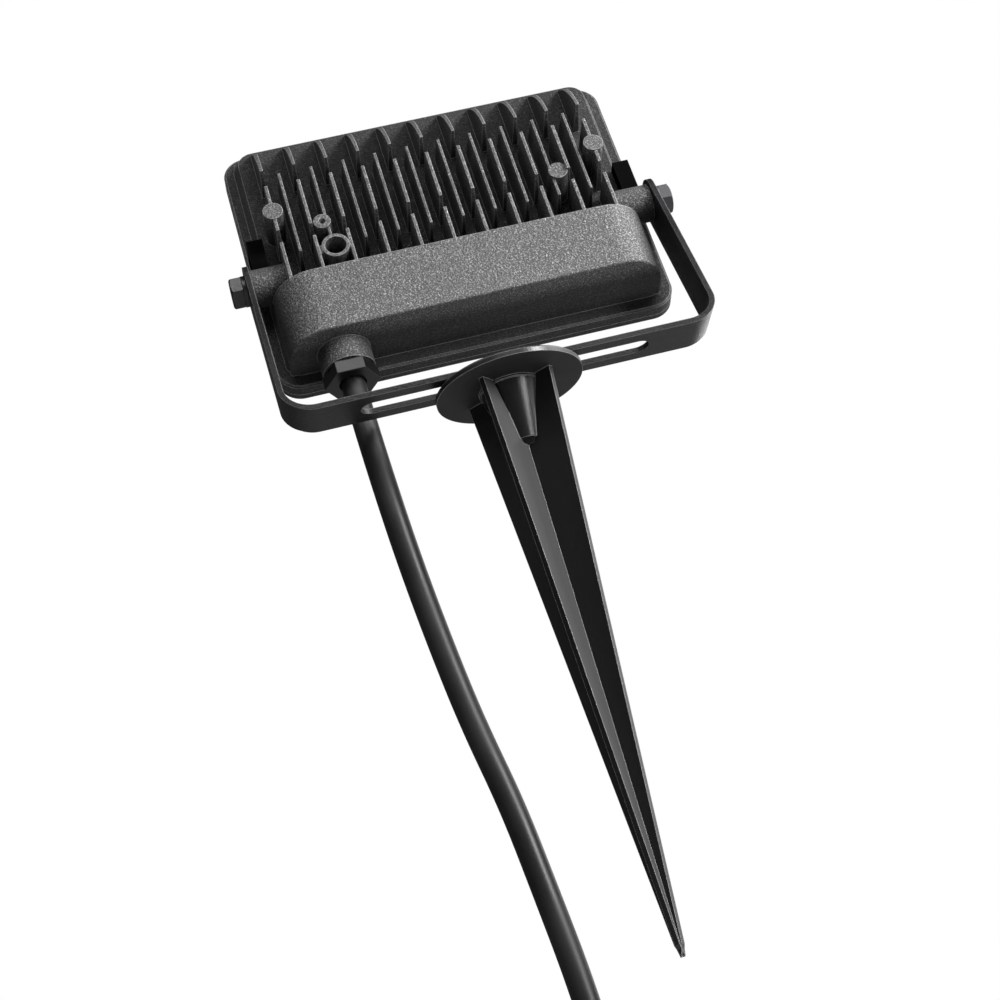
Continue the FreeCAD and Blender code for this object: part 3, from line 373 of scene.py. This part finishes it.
def glass(name, tint):
    """Clear float glass with the faintest unevenness."""
    material, made, shader = new_material(name)
    place = made.add("TexCoord").outputs["Object"]
    waves = made.add("TexNoise", {"Vector": place, "Scale": 18.0, "Detail": 1.0})
    made.feed(shader.inputs["Base Color"],
              made.blend(waves.outputs["Fac"], shaded(tint, 0.97), shaded(tint, 1.03)))
    made.feed(shader.inputs["Roughness"], made.spread(waves.outputs["Fac"], 0.2, 0.8, 0.01, 0.035))
    shader.inputs["Transmission Weight"].default_value = 1.0
    shader.inputs["IOR"].default_value = 1.5
    return material


def dress(material, *names):
    """Gives CAD nodes their finish."""
    for name in names:
        mesh = NODES[name].data
        mesh.materials.clear()
        mesh.materials.append(material)


# ---------------------------------------------------------------- mesh tools

def add_object(name, mesh, material):
    piece = bpy.data.objects.new(name, mesh)
    bpy.context.scene.collection.objects.link(piece)
    mesh.materials.clear()
    mesh.materials.append(material)
    return piece


def smooth(mesh):
    for face in mesh.polygons:
        face.use_smooth = True


# --------------------------------------------------------------------- stage

FLOOR_HALF = 4.0
FLOOR_LIT = (0.53, 0.57)
FLOOR_SEEN = 0.2
AIM = Vector((0.0, -0.02, 0.03))
# Each light's name, place, width and height, and the setting that holds its power.
LIGHTS = (
    ("key light", (-0.12, 0.82, 0.8), (0.8, 0.45), "key_power"),
    ("side light", (-0.78, 0.71, 0.26), (0.35, 0.45), "side_power"),
    ("end light", (-0.82, 0.1, 0.72), (0.3, 0.4), "end_power"),
    ("corner light", (0.71, 0.46, 0.82), (0.5, 0.2), "corner_power"),
    ("front light", (-0.8, -0.85, 0.15), (0.7, 0.7), "front_power"),
)


def seen_directly(made, path):
    """1 for rays from the camera, also through the glass."""
    return made.maths("MAXIMUM", path.outputs["Is Camera Ray"],
                      path.outputs["Is Transmission Ray"])


class SPOTLIGHT_OT_stage(Operator):
    """Camera at the photographed angle, pale floor, white surround and soft lights"""

    bl_idname = "spotlight.stage"
    bl_label = "Set the stage"

    def execute(self, context):
        stage = context.scene.spotlight_stage
        self.place_camera(context, stage)
        self.lay_floor(context, stage)
        self.fill_surround(context, stage)
        self.hang_lights(context, stage)
        context.scene.view_settings.view_transform = "Standard"
        return {"FINISHED"}

    def place_camera(self, context, stage):
        data = bpy.data.cameras.new("camera")
        data.sensor_width = 36.0
        data.lens = stage.lens
        data.clip_start = 0.01
        data.clip_end = 20.0
        camera = bpy.data.objects.new("camera", data)
        camera.location = stage.camera_place
        camera.rotation_euler = stage.camera_turn
        context.scene.collection.objects.link(camera)
        bpy.context.scene.camera = camera

    def lay_floor(self, context, stage):
        """A pale floor that keeps the shadow: part of what the camera sees is a steady glow."""
        mesh = bpy.data.meshes.new("floor")
        half = FLOOR_HALF
        z = stage.floor_height
        corners = [(-half, -half, z), (half, -half, z), (half, half, z), (-half, half, z)]
        mesh.from_pydata(corners, [], [(0, 1, 2, 3)])
        floor = bpy.data.objects.new("floor", mesh)
        context.scene.collection.objects.link(floor)
        material, made, shader = new_material("pale floor")
        place = made.add("TexCoord").outputs["Object"]
        paper = made.add("TexNoise", {"Vector": place, "Scale": 3.0})
        seen = seen_directly(made, made.add("LightPath"))
        lit = made.blend(paper.outputs["Fac"], grey(FLOOR_LIT[0]), grey(FLOOR_LIT[1]))
        made.feed(shader.inputs["Base Color"], made.blend(seen, lit, grey(FLOOR_SEEN)))
        shader.inputs["Roughness"].default_value = 0.9
        shader.inputs["Emission Color"].default_value = grey(1.0)
        glow = made.maths("MULTIPLY", seen, stage.floor_glow)
        made.feed(shader.inputs["Emission Strength"], glow)
        mesh.materials.append(material)

    def fill_surround(self, context, stage):
        """White where it is seen, dim in reflections and dim as a light."""
        world = bpy.data.worlds.new("surround")
        context.scene.world = world
        world.use_nodes = True
        made = Tree(world.node_tree)
        path = made.add("LightPath")
        mirrored = made.maths("MULTIPLY", path.outputs["Is Glossy Ray"], stage.mirrored_sky)
        shown = made.maths("MAXIMUM", seen_directly(made, path), mirrored)
        back = world.node_tree.nodes["Background"]
        back.inputs["Color"].default_value = grey(1.0)
        made.feed(back.inputs["Strength"], made.maths("MAXIMUM", shown, stage.sky))

    def hang_lights(self, context, stage):
        for name, place, size, power in LIGHTS:
            data = bpy.data.lights.new(name, "AREA")
            data.shape = "RECTANGLE"
            data.size, data.size_y = size
            data.energy = getattr(stage, power)
            lamp = bpy.data.objects.new(name, data)
            lamp.location = place
            lamp.rotation_euler = (AIM - lamp.location).to_track_quat("-Z", "Y").to_euler()
            context.scene.collection.objects.link(lamp)


# ---------------------------------------------------------------------- lead

# The hanging stretch, from inside the gland down to the coil.
HANGING = [
    (0.0383, -0.018139, 0.032443), (0.0383, -0.014601, 0.010107),
    (0.0376, -0.0132, -0.014), (0.0364, -0.0136, -0.036), (0.0344, -0.014, -0.059),
    (0.0318, -0.0142, -0.082), (0.0278, -0.0139, -0.105), (0.0256, -0.0136, -0.128),
    (0.0234, -0.0136, -0.152), (0.0227, -0.0136, -0.178), (0.0227, -0.0136, -0.208),
]
HALF_TURNS_IN = 5
HALF_TURNS_OUT = 6


def coil_points(values):
    """Points of the coil: in by steady steps, across to the rear layer, and out again."""
    x, y, _ = HANGING[-1]
    z = values.coil_height
    radius = values.coil_radius
    count = values.points_per_half
    outward = 1 / math.cos(math.pi / 2 / count)
    side = -1
    points = []
    for number in range(HALF_TURNS_IN + 1 + HALF_TURNS_OUT):
        climb = values.turn_pitch if number == HALF_TURNS_IN else 0.0
        below = -1 if number % 2 == 0 else 1
        for step in range(count):
            share = (step + 0.5) / count
            angle = math.pi * share
            points.append((x + side * radius * (1 - outward * math.cos(angle)),
                           y + climb * share,
                           z + below * radius * outward * math.sin(angle)))
        x += side * 2 * radius
        y += climb
        side = -side
        radius += values.turn_pitch / 2 * (1 if number >= HALF_TURNS_IN else -1)
    points.append((x, y, z - values.tail * 0.5))
    points.append((x, y, z - values.tail))
    return points


def route_curve(points, radius=0.0):
    """One smooth spline through the lead's route, bare or with its sheath."""
    curve = bpy.data.curves.new("lead_route", "CURVE")
    curve.dimensions = "3D"
    spline = curve.splines.new("NURBS")
    spline.points.add(len(points) - 1)
    for point, place in zip(spline.points, points):
        point.co = (*place, 1.0)
    spline.order_u = 3
    spline.use_endpoint_u = True
    spline.resolution_u = 6
    curve.bevel_depth = radius
    curve.bevel_resolution = 5
    curve.use_fill_caps = True
    holder = bpy.data.objects.new("lead_route", curve)
    bpy.context.scene.collection.objects.link(holder)
    bpy.context.view_layer.update()
    depsgraph = bpy.context.evaluated_depsgraph_get()
    made = bpy.data.meshes.new_from_object(holder.evaluated_get(depsgraph))
    bpy.data.objects.remove(holder)
    return made


class SPOTLIGHT_OT_lead(Operator):
    """The rubber supply lead from the gland to the plug, with its unused length coiled"""

    bl_idname = "spotlight.lead"
    bl_label = "Lay the supply lead"

    def execute(self, context):
        values = context.scene.spotlight_lead
        points = [tuple(point) for point in HANGING] + coil_points(values)
        path = [vertex.co[:] for vertex in route_curve(points).vertices]
        tube = route_curve(points, values.diameter / 2)
        smooth(tube)
        rubber = textured("cord rubber", finishes().rubber_colour, grain=0.0005, depth=0.00003,
                          roughness=0.42, speckle=1.3, specular=0.35)
        piece = add_object("supply_lead", tube, rubber)
        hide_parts("supply_cord_upper", "supply_cord", "cord_coil")
        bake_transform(piece)
        strap = textured("strap", (0.02, 0.02, 0.021), grain=0.0008, depth=0.00006, roughness=0.6)
        dress(strap, "coil_tie")
        return {"FINISHED"}


class SPOTLIGHT_OT_plug(Operator):
    """Rubber mains plug and its plated contacts"""

    bl_idname = "spotlight.plug"
    bl_label = "Finish the plug"

    def execute(self, context):
        rubber = textured("plug rubber", (0.022, 0.022, 0.023), grain=0.0006, depth=0.00005,
                          roughness=0.5)
        dress(rubber, "plug_body")
        dress(brushed("plated contacts", (0.75, 0.72, 0.66), roughness=0.25, streak=900.0),
              "plug_contacts")
        return {"FINISHED"}


# ------------------------------------------------------------------ finishes

class SPOTLIGHT_OT_casting(Operator):
    """Textured powder coat on the die casting and the front frame"""

    bl_idname = "spotlight.casting"
    bl_label = "Coat the casting"

    def execute(self, context):
        values = finishes()
        # Painted highlight along the coat's edges, and painted shade in the gaps between the fins.
        coat = textured("casting coat", values.coat_colour, grain=values.grain_size,
                        depth=values.grain_depth, roughness=0.33, edge_highlight_strength=0.9, speckle=9.0,
                        specular=1.0, glint=0.3, edge_highlight=0.35, painted_light_and_shade=[PAINTED_SHADE_GAPS])
        dress(coat, "housing", "front_frame")
        return {"FINISHED"}


class SPOTLIGHT_OT_bracket(Operator):
    """Fine powder coat on the bent bracket"""

    bl_idname = "spotlight.bracket"
    bl_label = "Coat the bracket"

    def execute(self, context):
        # Painted highlight along the bracket's edges.
        coat = textured("bracket coat", finishes().steel_colour, grain=0.0006, depth=0.0001,
                        roughness=0.34, edge_highlight_strength=0.9, speckle=4.0, specular=0.3, softness=0.0003,
                        edge_highlight=0.25)
        dress(coat, "bracket")
        return {"FINISHED"}


class SPOTLIGHT_OT_spike(Operator):
    """Smooth moulded plastic on the ground spike"""

    bl_idname = "spotlight.spike"
    bl_label = "Finish the spike"

    def execute(self, context):
        # Painted highlight along the edges, painted shade on the faces turned down and painted
        # light on one side of the vanes.
        plastic = textured("spike plastic", finishes().spike_colour, grain=0.0006,
                           depth=0.00003, roughness=0.31, edge_highlight_strength=0.95, speckle=1.2, specular=0.6,
                           softness=0.0003, edge_highlight=0.45, painted_light_and_shade=[PAINTED_SHADE_UNDERSIDE, PAINTED_LIGHT_VANE],
                           stretch=(1.0, 1.0, 0.04))
        dress(plastic, "ground_spike")
        return {"FINISHED"}


class SPOTLIGHT_OT_fasteners(Operator):
    """Blackened bolts, base screw and washers, and the plated screws inside"""

    bl_idname = "spotlight.fasteners"
    bl_label = "Plate the fasteners"

    def execute(self, context):
        blacked = brushed("bolt blacking", finishes().bolt_colour, roughness=0.42, streak=600.0,
                          stretch=(12.0, 1.0, 1.0))
        dress(blacked, "pivot_bolt_left", "pivot_bolt_right", "pivot_washer_left",
              "pivot_washer_right", "base_screw", "base_washer", "base_spring_washer")
        dress(brushed("bright screws", (0.62, 0.62, 0.63), roughness=0.3, streak=900.0),
              "board_screws", "earth_screw")
        return {"FINISHED"}


class SPOTLIGHT_OT_gland(Operator):
    """Black nylon of the gland nut, the side clips, the seals and the vent"""

    bl_idname = "spotlight.gland"
    bl_label = "Finish the gland and clips"

    def execute(self, context):
        # Painted highlight along the edges of the gland nut and the clips.
        nylon = textured("gland nylon", finishes().nylon_colour, grain=0.002, depth=0.00001,
                         roughness=0.3, edge_highlight_strength=0.8, speckle=1.2, specular=0.3)
        clip = textured("clip plastic", (0.003, 0.003, 0.003), grain=0.001, depth=0.00002,
                        roughness=0.85, edge_highlight_strength=0.3, speckle=1.3, specular=0.0)
        vent = textured("vent membrane", (0.06, 0.06, 0.06), grain=0.0003, depth=0.00005,
                        roughness=0.7)
        seal = textured("seal silicone", (0.05, 0.05, 0.05), grain=0.001, depth=0.00002,
                        roughness=0.55)
        dress(nylon, "gland_nut")
        dress(clip, "side_clip_left", "side_clip_right")
        dress(vent, "breather_plug")
        dress(seal, "gland_seal", "glass_gasket")
        return {"FINISHED"}


class SPOTLIGHT_OT_light_source(Operator):
    """Front glass, white reflector, LED board and chips"""

    bl_idname = "spotlight.light_source"
    bl_label = "Finish the light source"

    def execute(self, context):
        sheet = textured("reflector sheet", (0.82, 0.82, 0.8), grain=0.0008, depth=0.00001,
                         roughness=0.35, speckle=1.05, clouds=0.03)
        mask = textured("solder mask", (0.78, 0.79, 0.77), grain=0.0012, depth=0.00002,
                        roughness=0.4, speckle=1.08, clouds=0.05)
        phosphor = textured("phosphor", (0.85, 0.62, 0.12), grain=0.0004, depth=0.00003,
                            roughness=0.45, speckle=1.2, clouds=0.1)
        dress(glass("front glass", (0.93, 0.97, 0.95)), "front_glass")
        dress(sheet, "reflector")
        dress(mask, "led_board")
        dress(phosphor, "led_chips")
        return {"FINISHED"}


class SPOTLIGHT_OT_driver(Operator):
    """Driver circuit inside the closed box, and the supply terminals"""

    bl_idname = "spotlight.driver"
    bl_label = "Finish the driver"

    def execute(self, context):
        laminate = textured("laminate", (0.05, 0.22, 0.09), grain=0.0009, depth=0.00002,
                            roughness=0.4, clouds=0.15)
        tape = textured("winding tape", (0.45, 0.32, 0.08), grain=0.0007, depth=0.00003,
                        roughness=0.4)
        sleeve = textured("capacitor sleeve", (0.03, 0.035, 0.09), grain=0.002, depth=0.00001,
                          roughness=0.25)
        block = textured("terminal block", (0.75, 0.74, 0.7), grain=0.001, depth=0.00002,
                         roughness=0.5, speckle=1.05, clouds=0.04)
        dress(laminate, "driver_board")
        dress(tape, "driver_transformer")
        dress(sleeve, "driver_capacitor")
        dress(block, "terminal_block")
        return {"FINISHED"}


STEPS = (
    SPOTLIGHT_OT_stage, SPOTLIGHT_OT_lead, SPOTLIGHT_OT_plug, SPOTLIGHT_OT_casting,
    SPOTLIGHT_OT_bracket, SPOTLIGHT_OT_spike, SPOTLIGHT_OT_fasteners, SPOTLIGHT_OT_gland,
    SPOTLIGHT_OT_light_source, SPOTLIGHT_OT_driver,
)
SETTINGS = (
    ("spotlight_finishes", SpotlightFinishes), ("spotlight_lead", SpotlightLead),
    ("spotlight_stage", SpotlightStage),
)


class SPOTLIGHT_PT_panel(Panel):
    """Sidebar panel with every step and setting"""

    bl_label = "Garden Spike Spotlight"
    bl_space_type = "VIEW_3D"
    bl_region_type = "UI"
    bl_category = "Spotlight"

    def draw(self, context):
        column = self.layout.column(align=True)
        for step in STEPS:
            column.operator(step.bl_idname)
        for holder, group in SETTINGS:
            box = self.layout.box()
            for name in group.__annotations__:
                box.prop(getattr(context.scene, holder), name)


def register():
    for holder, group in SETTINGS:
        bpy.utils.register_class(group)
        setattr(bpy.types.Scene, holder, PointerProperty(type=group))
    for item in STEPS + (SPOTLIGHT_PT_panel,):
        bpy.utils.register_class(item)


def unregister():
    for item in reversed(STEPS + (SPOTLIGHT_PT_panel,)):
        bpy.utils.unregister_class(item)
    for holder, group in reversed(SETTINGS):
        delattr(bpy.types.Scene, holder)
        bpy.utils.unregister_class(group)


def main():
    register()
    for step in STEPS:
        space, name = step.bl_idname.split(".")
        getattr(getattr(bpy.ops, space), name)()
    bpy.context.view_layer.update()


if __name__ == "__main__":
    main()
